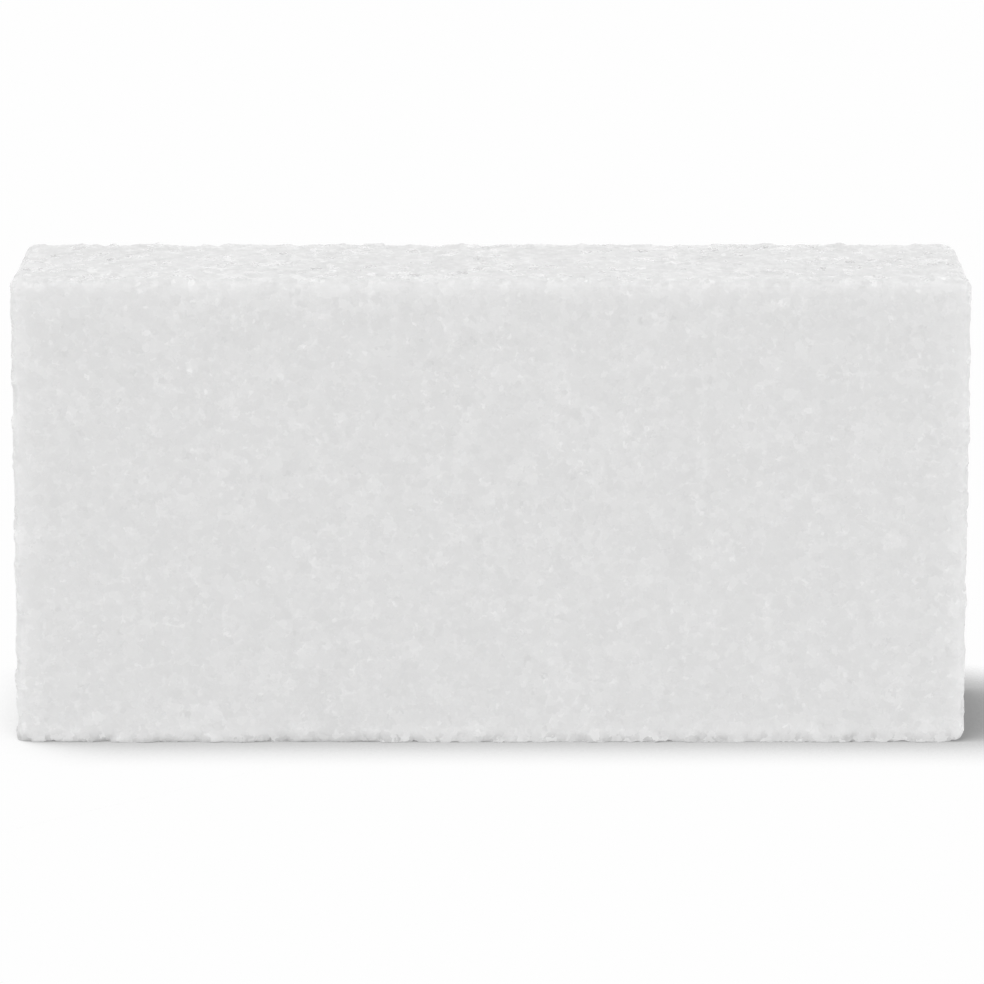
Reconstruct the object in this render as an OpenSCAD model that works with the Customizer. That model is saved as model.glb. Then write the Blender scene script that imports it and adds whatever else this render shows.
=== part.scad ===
// Foam block: one solid block of rigid, coarse-celled polystyrene craft foam,
// sawn to size, with its edges rubbed down and one corner knocked off.
// Frame: +X along the length, +Y from the front face to the back face, +Z up.
// The origin is the middle of the bottom face, which the block stands on.

/* [Block] */
// Length of the block, from its left end to its right end
block_length = 200.7; // [60:0.1:600]
// Thickness of the block, from its front face to its back face
block_thickness = 48.3; // [20:0.1:300]
// Height of the block, from its bottom face to its top face
block_height = 99.1; // [20:0.1:400]

/* [Edges] */
// Radius that all twelve edges and eight corners are rubbed down to
edge_radius = 2; // [0.3:0.1:4]

/* [Knocked corner, bottom front right] */
// How far the break runs from the square corner along the length
break_length = 4.2; // [2:0.1:12]
// How far the break runs from the square corner along the thickness
break_thickness = 12; // [2:0.1:16]
// How far the break runs from the square corner up the height
break_height = 2.6; // [2:0.1:12]

/* [Hidden] */
foam_white = "#ebebeb";
$fn = 48;

// A box with its middle at the origin, whose edges and corners all have one radius.
module rounded_box(size, radius) {
    inner = size - 2 * radius * [1, 1, 1];
    ends = [-1, 1];
    // Three crossed boxes carry the six flat faces.
    cube([size.x, inner.y, inner.z], center = true);
    cube([inner.x, size.y, inner.z], center = true);
    cube([inner.x, inner.y, size.z], center = true);
    // The rolled edges run along X, along Y and along Z.
    for (i = ends, j = ends) {
        translate([0, i * inner.y / 2, j * inner.z / 2])
            rotate([0, 90, 0])
                cylinder(h = inner.x, r = radius, center = true);
        translate([i * inner.x / 2, 0, j * inner.z / 2])
            rotate([90, 0, 0])
                cylinder(h = inner.y, r = radius, center = true);
        translate([i * inner.x / 2, j * inner.y / 2, 0])
            cylinder(h = inner.z, r = radius, center = true);
    }
    // A ball closes each corner.
    for (i = ends, j = ends, k = ends)
        translate([i * inner.x / 2, j * inner.y / 2, k * inner.z / 2])
            sphere(r = radius);
}

// What a knock takes off a square corner: all that lies past the plane through the
// three points that are reach.x, reach.y and reach.z along the edges from the corner.
// side holds 1 or -1 for each axis, and points from the block's middle to the corner.
module corner_break(corner, side, reach) {
    slope = [side.x / reach.x, side.y / reach.y, side.z / reach.z];
    steepness = norm(slope);
    plane_depth = 1 / steepness;
    cutter = 4 * max(reach);
    translate(corner)
        rotate([0, acos(slope.z / steepness), atan2(slope.y, slope.x)])
            translate([-cutter / 2, -cutter / 2, -plane_depth])
                cube(cutter);
}

module foam_block() {
    half = [block_length, block_thickness, block_height] / 2;
    color(foam_white)
        translate([0, 0, half.z])
            difference() {
                rounded_box(2 * half, edge_radius);
                corner_break(
                    corner = [half.x, -half.y, -half.z],
                    side = [1, -1, -1],
                    reach = [break_length, break_thickness, break_height]
                );
            }
}

foam_block();
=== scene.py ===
import math
import bpy
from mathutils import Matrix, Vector, noise


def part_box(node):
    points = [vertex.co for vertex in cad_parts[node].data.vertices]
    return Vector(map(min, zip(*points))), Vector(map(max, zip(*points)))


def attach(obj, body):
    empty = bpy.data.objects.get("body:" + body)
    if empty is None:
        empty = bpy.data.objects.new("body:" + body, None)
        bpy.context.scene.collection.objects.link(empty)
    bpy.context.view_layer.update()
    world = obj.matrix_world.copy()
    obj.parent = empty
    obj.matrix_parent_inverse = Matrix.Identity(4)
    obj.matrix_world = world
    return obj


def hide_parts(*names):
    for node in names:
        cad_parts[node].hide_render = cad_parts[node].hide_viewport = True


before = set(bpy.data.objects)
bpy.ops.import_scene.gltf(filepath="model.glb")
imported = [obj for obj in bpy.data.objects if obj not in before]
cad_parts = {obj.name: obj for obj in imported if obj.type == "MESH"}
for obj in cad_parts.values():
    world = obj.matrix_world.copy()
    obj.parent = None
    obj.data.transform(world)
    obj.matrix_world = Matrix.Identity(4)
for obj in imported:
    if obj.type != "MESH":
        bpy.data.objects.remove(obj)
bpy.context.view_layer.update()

# ---------------------------------------------------------------------------------------
# The foam block: one piece of rigid white polystyrene foam, sawn out of a thick board.
# Its two broad faces are the board's, planed nearly smooth, and the four narrow ones are
# sawn rough. Handling has rubbed its edges, and a knock has broken a corner of its foot.
# ---------------------------------------------------------------------------------------
MM = 0.001
block_low, block_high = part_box("foam_block")
block_size = block_high - block_low
block_middle = (block_low + block_high) / 2

bpy.ops.object.select_all(action="DESELECT")
bpy.ops.mesh.primitive_cube_add(size=1, location=block_middle, scale=block_size)
block = bpy.context.object
block.name = "sawn_foam_block"
bpy.ops.object.transform_apply(location=True, rotation=True, scale=True)

# handling has rubbed the edges round: the far one of the top less, and the foot's hardly
RUBBED_EDGE = 3.6 * MM
FAR_TOP_EDGE = 1.2 * MM
FOOT_EDGE = 0.8 * MM
EDGE_STEPS = 8
RUBBED_PROFILE = 0.72      # 0.5 is a round edge and 1 a sharp one
rubbing = block.data.attributes.new("bevel_weight_edge", "FLOAT", "EDGE")
for edge in block.data.edges:
    ends = [block.data.vertices[i].co for i in edge.vertices]
    width = RUBBED_EDGE
    if min(end.y for end in ends) > block_middle.y and min(end.z for end in ends) > block_middle.z:
        width = FAR_TOP_EDGE
    if max(end.z for end in ends) < block_middle.z:
        width = FOOT_EDGE
    rubbing.data[edge.index].value = width / RUBBED_EDGE
rounding = block.modifiers.new("rubbed edges", "BEVEL")
rounding.limit_method = "WEIGHT"
rounding.width = RUBBED_EDGE
rounding.segments = EDGE_STEPS
rounding.profile = RUBBED_PROFILE
bpy.ops.object.modifier_apply(modifier=rounding.name)

# the broken corner, low at the front right, is cut off along the plane of the break
BREAK_REACH = Vector((3.6, 12.0, 1.9)) * MM      # along the block, into it and up
broken_corner = Vector((block_high.x, block_low.y, block_low.z))
break_normal = Vector((1 / BREAK_REACH.x, -1 / BREAK_REACH.y, -1 / BREAK_REACH.z))
bpy.ops.object.mode_set(mode="EDIT")
bpy.ops.mesh.select_all(action="SELECT")
bpy.ops.mesh.bisect(
    plane_co=broken_corner - Vector((BREAK_REACH.x, 0, 0)),
    plane_no=break_normal.normalized(),
    use_fill=True,
    clear_outer=True,
)
bpy.ops.mesh.select_all(action="SELECT")
bpy.ops.mesh.normals_make_consistent(inside=False)
bpy.ops.object.mode_set(mode="OBJECT")

# an even net of small quads over the whole block, for the relief of the torn cells
NET = 1.09 * MM
net = block.modifiers.new("even net", "REMESH")
net.mode = "VOXEL"
net.voxel_size = NET
bpy.ops.object.modifier_apply(modifier=net.name)


def from_edge(point):
    """How far a point lies from the nearest edge: the second smallest of its three depths."""
    depths = [min(point[i] - block_low[i], block_high[i] - point[i]) for i in range(3)]
    return sorted(depths)[1]


# the top and a band along each edge get a net twice as fine, because relief shows most there
FINE_BAND = 1.9 * MM
bpy.ops.object.mode_set(mode="EDIT")
bpy.ops.mesh.select_mode(type="FACE")
bpy.ops.mesh.select_all(action="DESELECT")
bpy.ops.object.mode_set(mode="OBJECT")
for face in block.data.polygons:
    on_top = face.center.z > block_high.z - NET
    face.select = on_top or from_edge(face.center) < FINE_BAND
bpy.ops.object.mode_set(mode="EDIT")
bpy.ops.mesh.subdivide(number_cuts=1)
bpy.ops.object.mode_set(mode="OBJECT")

# where each kind of wear reaches: along every edge, along the foot, and in patches all
# over the sawn faces, while the planed faces have a small share of it
CRUMBLING = 4.5 * MM
BROAD_SKIN = 1.5 * MM
BROAD_SHARE = 0.2
PATCH = 7.0 * MM
PATCH_MIDDLE = 0.65        # of the full relief, and the patches swing about it
PATCH_SWING = 0.9
PATCH_LEAST = 0.2
edges = block.vertex_groups.new(name="edges")
foot = block.vertex_groups.new(name="foot")
torn = block.vertex_groups.new(name="torn")
for vertex in block.data.vertices:
    near_edge = max(0.0, 1 - from_edge(vertex.co) / CRUMBLING)
    near_floor = max(0.0, 1 - (vertex.co.z - block_low.z) / CRUMBLING)
    skin = min(vertex.co.y - block_low.y, block_high.y - vertex.co.y) / BROAD_SKIN
    patch = PATCH_MIDDLE + PATCH_SWING * noise.noise(vertex.co / PATCH)
    patch = min(1.0, max(PATCH_LEAST, patch))
    edges.add([vertex.index], near_edge, "REPLACE")
    foot.add([vertex.index], near_edge * near_floor, "REPLACE")
    torn.add([vertex.index], min(1.0, max(BROAD_SHARE, skin)) * patch, "REPLACE")


def roughen(name, group, texture_kind, grain, depth, still_level, **settings):
    """Moves a group's surface by up to depth, in grains of that size. The still level stays put."""
    texture = bpy.data.textures.new(name, texture_kind)
    texture.noise_scale = grain
    for key, value in settings.items():
        setattr(texture, key, value)
    modifier = block.modifiers.new(name, "DISPLACE")
    modifier.texture = texture
    modifier.texture_coords = "LOCAL"
    modifier.strength = depth
    modifier.mid_level = still_level
    modifier.vertex_group = group
    bpy.ops.object.modifier_apply(modifier=modifier.name)


# each grain of the last three stands at a height of its own, as torn cells do
roughen("wavy edges", "edges", "CLOUDS", grain=4.0 * MM, depth=1.8 * MM, still_level=0.5, noise_depth=2)
for name, group, grain, depth, still_level in (
    ("crumbs", "edges", 2.4 * MM, 1.0 * MM, 0.48),
    ("foot crumbs", "foot", 3.0 * MM, 1.6 * MM, 0.28),
    ("torn cells", "torn", 2.8 * MM, 0.55 * MM, 0.5),
):
    roughen(name, group, "VORONOI", grain, depth, still_level, color_mode="POSITION")

# the lowest crumbs are pressed flat by the weight of the block
SAG = 0.15 * MM
SAG_REACH = 2.0 * MM
for vertex in block.data.vertices:
    rise = vertex.co.z - block_low.z
    sag = SAG * max(0.0, 1 - rise / SAG_REACH)
    vertex.co.z = block_low.z + max(0.0, rise - sag)
bpy.ops.object.shade_smooth()

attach(block, "root")
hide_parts("foam_block")


def linear(hex_colour):
    """An sRGB hex colour as linear red, green, blue and alpha."""
    channels = [int(hex_colour[i:i + 2], 16) / 255 for i in (1, 3, 5)]
    return [c / 12.92 if c <= 0.04045 else ((c + 0.055) / 1.055) ** 2.4 for c in channels] + [1.0]


def add(owner, kind, inputs=None, **settings):
    """Adds a node. Its inputs are values, outputs to link, or nodes whose first output is linked."""
    node = owner.node_tree.nodes.new(kind)
    for name, value in settings.items():
        setattr(node, name, value)
    for name, value in (inputs or {}).items():
        if isinstance(value, bpy.types.Node):
            value = value.outputs[0]
        if isinstance(value, bpy.types.NodeSocket):
            owner.node_tree.links.new(value, node.inputs[name])
        else:
            node.inputs[name].default_value = value
    return node


# Polystyrene blown into cells of a millimetre or two. The plane and the saw opened every one
# somewhere else, so a face is a patchwork of little facets. Each facet has its own tone and
# leans its own way, and a few smooth cell walls glint. Painted highlights whiten the corners
# between cells and a few flecks, and painted shade greys the pores, the sawn faces and the
# foot. Light soaks in for millimetres, so the edges glow and nothing is quite dark.
foam = bpy.data.materials.new("sawn polystyrene foam")
foam.use_nodes = True
foam.node_tree.nodes.clear()

# the place on the block in millimetres, with everything drawn out from front to back, and
# pulled to and fro so that the facets get torn outlines
DRAWN_OUT = 0.65
TEAR = 0.77
TORN_BY = 1.3
NOISE_MIDDLE = 0.5
spot = add(foam, "ShaderNodeTexCoord").outputs["Object"]
place = add(foam, "ShaderNodeMapping", {"Vector": spot, "Scale": (1 / MM, DRAWN_OUT / MM, 1 / MM)})
ragged = add(foam, "ShaderNodeTexNoise", {"Vector": place, "Scale": 1 / TEAR, "Detail": 0.0})
ragged = add(foam, "ShaderNodeVectorMath", {
    0: ragged.outputs["Color"], 1: (NOISE_MIDDLE,) * 3}, operation="SUBTRACT")
place = add(foam, "ShaderNodeVectorMath", {
    0: ragged, 1: (TORN_BY,) * 3, 2: place}, operation="MULTIPLY_ADD")

# three sizes of facets, in millimetres, and the lots that each facet draws: red, green, blue
CLUSTER = 3.0
CELL = 1.8
SHRED = 0.95
clusters = add(foam, "ShaderNodeTexVoronoi", {"Vector": place, "Scale": 1 / CLUSTER})
cells = add(foam, "ShaderNodeTexVoronoi", {"Vector": place, "Scale": 1 / CELL})
shreds = add(foam, "ShaderNodeTexVoronoi", {"Vector": place, "Scale": 1 / SHRED})
cell = add(foam, "ShaderNodeSeparateColor", {"Color": cells.outputs["Color"]}).outputs
cluster = add(foam, "ShaderNodeSeparateColor", {"Color": clusters.outputs["Color"]}).outputs
shred = add(foam, "ShaderNodeSeparateColor", {"Color": shreds.outputs["Color"]}).outputs

# 0 on the planed faces, and 1 where the saw has torn the cells open
SKIN_FROM = 0.2 * MM
SKIN_TO = 1.2 * MM
across = add(foam, "ShaderNodeSeparateXYZ", {"Vector": spot}).outputs["Y"]
across = add(foam, "ShaderNodeMath", {0: across}, operation="ABSOLUTE")
sawn = add(foam, "ShaderNodeMapRange", {
    "Value": across,
    "From Min": block_size.y / 2 - SKIN_FROM,
    "From Max": block_size.y / 2 - SKIN_TO,
}, interpolation_type="SMOOTHSTEP")

# the tone adds up shares of them, where 0 is the shade and 1 the light colour: the cells
# stand out in some clusters more than in others
CELL_TONE = 0.62
SHRED_TONE = 0.1
tone = add(foam, "ShaderNodeMath", {0: cell["Red"], 1: cluster["Green"]}, operation="MULTIPLY")
tone = add(foam, "ShaderNodeMath", {0: tone, 1: CELL_TONE}, operation="MULTIPLY")
tone = add(foam, "ShaderNodeMath", {0: shred["Red"], 1: SHRED_TONE, 2: tone}, operation="MULTIPLY_ADD")

# painted highlights: a few shreds are painted as white flecks, standing in for cell walls that glint
GLINT_FLECK_TONE = 0.7
FLECKS_FROM = 0.97
FLECKS_FULL = 0.99
glint_fleck = add(foam, "ShaderNodeMapRange", {
    "Value": shred["Green"], "From Min": FLECKS_FROM, "From Max": FLECKS_FULL})
tone = add(foam, "ShaderNodeMath", {0: glint_fleck, 1: GLINT_FLECK_TONE, 2: tone}, operation="MULTIPLY_ADD")

# painted highlights: the corners between cells are painted whiter here and there, standing in for cell
# walls that catch the light
STRUT_HIGHLIGHT_TONE = 0.5
STRUTS_FROM = 0.6          # of a cell's size, measured from its middle
STRUTS_FULL = 0.85
STRUTS_HIDDEN = 0.4
strut_highlight = add(foam, "ShaderNodeMapRange", {
    "Value": cells.outputs["Distance"], "From Min": STRUTS_FROM, "From Max": STRUTS_FULL})
shown = add(foam, "ShaderNodeMath", {0: shred["Green"], 1: STRUTS_HIDDEN}, operation="GREATER_THAN")
strut_highlight = add(foam, "ShaderNodeMath", {0: strut_highlight, 1: shown}, operation="MULTIPLY")
tone = add(foam, "ShaderNodeMath", {0: strut_highlight, 1: STRUT_HIGHLIGHT_TONE, 2: tone}, operation="MULTIPLY_ADD")

# painted shade: a very few shreds are open pores, painted darker for the shade inside them
PORE_SHADE_TONE = -0.4
PORES_FROM = 0.012
PORES_FULL = 0.006
pore_shade = add(foam, "ShaderNodeMapRange", {
    "Value": shred["Blue"], "From Min": PORES_FROM, "From Max": PORES_FULL})
tone = add(foam, "ShaderNodeMath", {0: pore_shade, 1: PORE_SHADE_TONE, 2: tone}, operation="MULTIPLY_ADD")

# painted shade: the sawn faces are painted a little greyer for the shade in their open cells,
# and their cells are more uneven in tone, partly from the rough cut and partly as painted
# shade and light of their relief
SAWN_CONTRAST = 1.0
SAWN_SHADE_TONE = -0.6
uneven = add(foam, "ShaderNodeMath", {0: sawn, 1: SAWN_CONTRAST, 2: 1.0}, operation="MULTIPLY_ADD")
tone = add(foam, "ShaderNodeMath", {0: tone, 1: uneven}, operation="MULTIPLY")
tone = add(foam, "ShaderNodeMath", {0: sawn, 1: SAWN_SHADE_TONE, 2: tone}, operation="MULTIPLY_ADD")

# whole clusters of cells are lighter or darker, and on every face alike
CLUSTER_TONE = 0.26
tone = add(foam, "ShaderNodeMath", {0: cluster["Red"], 1: CLUSTER_TONE, 2: tone}, operation="MULTIPLY_ADD")

# painted shade: the lowest cells are painted more or less grey, towards the foot where the block stands on
# the floor
FOOT_SHADE_REACH = 2.9 * MM
FOOT_SHADE_TONE = -3.2
height = add(foam, "ShaderNodeSeparateXYZ", {"Vector": spot}).outputs["Z"]
foot_shade = add(foam, "ShaderNodeMapRange", {
    "Value": height,
    "From Min": FOOT_SHADE_REACH,
    "From Max": 0.0,
    "To Max": FOOT_SHADE_TONE,
}, interpolation_type="SMOOTHSTEP")
tone = add(foam, "ShaderNodeMath", {0: foot_shade, 1: cell["Green"], 2: tone}, operation="MULTIPLY_ADD")

# the two colours that the tone runs between
FOAM_SHADE = "#e0e0e0"
FOAM_LIGHT = "#eaeaea"
colour = add(foam, "ShaderNodeMix", {
    "Factor": tone, "A": linear(FOAM_SHADE), "B": linear(FOAM_LIGHT),
}, data_type="RGBA", clamp_factor=False)

# every facet leans by its own random amount, and some are smooth enough to glint
CELL_LEAN = 0.2
SHRED_LEAN = 0.14
NO_LEAN = -(CELL_LEAN + SHRED_LEAN) / 2
MATT = 0.75
SMOOTH = 0.1
GLINTS_FROM = 0.72
GLINTS_FULL = 0.95
leans = add(foam, "ShaderNodeVectorMath", {
    0: cells.outputs["Color"], 1: (CELL_LEAN,) * 3, 2: (NO_LEAN,) * 3}, operation="MULTIPLY_ADD")
leans = add(foam, "ShaderNodeVectorMath", {
    0: shreds.outputs["Color"], 1: (SHRED_LEAN,) * 3, 2: leans}, operation="MULTIPLY_ADD")
upright = add(foam, "ShaderNodeNewGeometry").outputs["Normal"]
facing = add(foam, "ShaderNodeVectorMath", {0: upright, 1: leans}, operation="ADD")
facing = add(foam, "ShaderNodeVectorMath", {0: facing}, operation="NORMALIZE")
roughness = add(foam, "ShaderNodeMapRange", {
    "Value": cell["Blue"],
    "From Min": GLINTS_FROM,
    "From Max": GLINTS_FULL,
    "To Min": MATT,
    "To Max": SMOOTH,
})

# polystyrene itself is clear, and its thousands of cell walls spread the light
POLYSTYRENE_IOR = 1.59
SOAKED_SHARE = 0.65
SOAKED_DEPTH = 6.0 * MM
ALL_COLOURS_ALIKE = (1, 1, 1)
skin = add(foam, "ShaderNodeBsdfPrincipled", {
    "Base Color": colour.outputs["Result"],
    "Normal": facing,
    "Roughness": roughness,
    "IOR": POLYSTYRENE_IOR,
    "Subsurface Weight": SOAKED_SHARE,
    "Subsurface Radius": ALL_COLOURS_ALIKE,
    "Subsurface Scale": SOAKED_DEPTH,
})
add(foam, "ShaderNodeOutputMaterial", {"Surface": skin})
block.data.materials.clear()
block.data.materials.append(foam)

# ---------------------------------------------------------------------------------------
# The floor: a wide sheet of matt white paper on a light table. To the camera it is white,
# with a painted shadow of the block: soft on the right, and a dark line where it stands.
# ---------------------------------------------------------------------------------------
FLOOR_SIDE = 40            # metres
bpy.ops.object.select_all(action="DESELECT")
bpy.ops.mesh.primitive_plane_add(size=FLOOR_SIDE, location=(0, 0, block_low.z))
floor = bpy.context.object
floor.name = "floor"

paper = bpy.data.materials.new("matt white paper")
paper.use_nodes = True
paper.node_tree.nodes.clear()

# the painted shadow: how much of a wide cone of sky over the front left the block takes
# away, and the tone painted on the paper for each share of that cone that is left
SHADOW_REACH = 25 * MM
SHADOW_CONE_SIDE = Vector((-1.2, -0.55, 0.7)).normalized()
SHADOW_TONES = ((0.4, "#8e8e8e"), (0.75, "#c4c4c4"), (0.89, "#e9e9e9"), (1.0, "#fefefe"))
SHADOW_RAYS = 8
to_shadow_cone = add(paper, "ShaderNodeCombineXYZ", {"X": SHADOW_CONE_SIDE.x, "Y": SHADOW_CONE_SIDE.y, "Z": SHADOW_CONE_SIDE.z})
open_share = add(paper, "ShaderNodeAmbientOcclusion", {
    "Normal": to_shadow_cone, "Distance": SHADOW_REACH}, samples=SHADOW_RAYS).outputs["AO"]
shade = add(paper, "ShaderNodeValToRGB", {"Fac": open_share})
stops = shade.color_ramp.elements
stops.remove(stops[1])
for share, hex_colour in SHADOW_TONES:
    stops.new(share).color = linear(hex_colour)
stops.remove(stops[0])


def looked_at(owner):
    """1 for what the camera sees, even in a gloss or through a glass, and 0 for other light."""
    ray = add(owner, "ShaderNodeLightPath").outputs
    looks = add(owner, "ShaderNodeMath", {
        0: ray["Is Camera Ray"], 1: ray["Is Glossy Ray"]}, operation="MAXIMUM")
    return add(owner, "ShaderNodeMath", {
        0: looks, 1: ray["Is Transmission Ray"]}, operation="MAXIMUM")


# what the block sees of the paper is lit partly from above and partly from below
GLOW = 0.7
GLOW_LEVEL = 0.93
WHITE = (1, 1, 1, 1)
# to the camera the paper glows in these tones: a painted shadow, with no lamp behind it
painted_shadow = add(paper, "ShaderNodeEmission", {"Color": shade.outputs["Color"]})
lit = add(paper, "ShaderNodeBsdfDiffuse", {"Color": WHITE})
glow = add(paper, "ShaderNodeEmission", {"Strength": GLOW_LEVEL})
lit = add(paper, "ShaderNodeMixShader", {0: GLOW, 1: lit, 2: glow})
either = add(paper, "ShaderNodeMixShader", {0: looked_at(paper), 1: lit, 2: painted_shadow})
add(paper, "ShaderNodeOutputMaterial", {"Surface": either})
floor.data.materials.append(paper)

# ---------------------------------------------------------------------------------------
# The studio: a white tent that lights the block evenly from all round, with a weak soft
# lamp overhead, one for the right-hand end, and one behind that makes the top glint.
# ---------------------------------------------------------------------------------------
TENT_LEVEL = 0.984
BACKDROP_LEVEL = 0.99
studio = bpy.data.worlds.new("white tent")
bpy.context.scene.world = studio
studio.use_nodes = True
studio.node_tree.nodes.clear()
tent = add(studio, "ShaderNodeBackground", {"Color": WHITE, "Strength": TENT_LEVEL})
backdrop = add(studio, "ShaderNodeBackground", {"Color": WHITE, "Strength": BACKDROP_LEVEL})
either = add(studio, "ShaderNodeMixShader", {0: looked_at(studio), 1: tent, 2: backdrop})
add(studio, "ShaderNodeOutputWorld", {"Surface": either})


def lamp(name, direction, level, spread):
    """A far, soft lamp of spread degrees: white paper facing it renders at that level of white."""
    data = bpy.data.lights.new(name, "SUN")
    data.energy = level * math.pi
    data.angle = math.radians(spread)
    made = bpy.data.objects.new(name, data)
    bpy.context.scene.collection.objects.link(made)
    made.rotation_euler = Vector(direction).to_track_quat("Z", "Y").to_euler()


lamp("overhead lamp", direction=(-0.3, -0.1, 1.0), level=0.03, spread=20)
lamp("right lamp", direction=(1.0, 0.0, 0.15), level=0.03, spread=40)
lamp("back lamp", direction=(0.0, 1.0, 0.45), level=0.009, spread=24)

# ---------------------------------------------------------------------------------------
# The camera: square on to the block's broad face and a little above it, far away behind a
# long lens that lets the block fill nearly the whole width of the picture.
# ---------------------------------------------------------------------------------------
VIEW_ELEVATION = math.radians(11.7)
VIEW_DISTANCE = 6.2 * block_size.x
FACE_SHARE_OF_WIDTH = 0.9703
SENSOR_WIDTH_MM = 36
AIM_OFFSET = Vector((0.3, 0, -0.44)) * MM     # from the block's middle

towards_camera = Vector((0, -math.cos(VIEW_ELEVATION), math.sin(VIEW_ELEVATION)))
face_distance = VIEW_DISTANCE - block_size.y / 2 * math.cos(VIEW_ELEVATION)
camera_data = bpy.data.cameras.new("camera")
camera_data.sensor_width = SENSOR_WIDTH_MM
camera_data.lens = SENSOR_WIDTH_MM * FACE_SHARE_OF_WIDTH * face_distance / block_size.x
camera = bpy.data.objects.new("camera", camera_data)
bpy.context.scene.collection.objects.link(camera)
camera.location = block_middle + AIM_OFFSET + VIEW_DISTANCE * towards_camera
camera.rotation_euler = towards_camera.to_track_quat("Z", "Y").to_euler()
bpy.context.scene.camera = camera
bpy.context.scene.view_settings.view_transform = "Standard"
